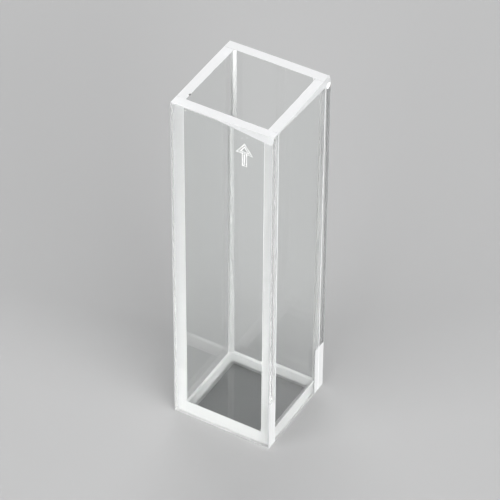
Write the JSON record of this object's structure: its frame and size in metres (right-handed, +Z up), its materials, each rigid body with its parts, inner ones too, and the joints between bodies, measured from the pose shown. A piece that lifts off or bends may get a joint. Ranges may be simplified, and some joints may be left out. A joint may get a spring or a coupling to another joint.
{
  "type": "cuvette",
  "caption": "Square glass cell, open at the top, that holds a liquid sample in a beam of light for measuring. Clear fused plates with ground rim and white seams.",
  "frame": {"origin": "middle of the footprint, on the surface the cell stands on", "axes": "+Z up from foot to rim, light passes along Y, front window towards -Y, right wall towards +X"},
  "size_m": [0.0126, 0.0126, 0.045],
  "materials": {
    "window_glass": "polished optical glass, ground at the rim",
    "wall_glass": "polished optical glass, ground at the rim",
    "base_glass": "polished optical glass",
    "seam_frit": "matt white fused glass powder"
  },
  "bodies": {
    "root": {"front_window": "window_glass", "back_window": "window_glass", "left_wall": "wall_glass", "right_wall": "wall_glass", "base_plate": "base_glass"}
  },
  "joints": []
}
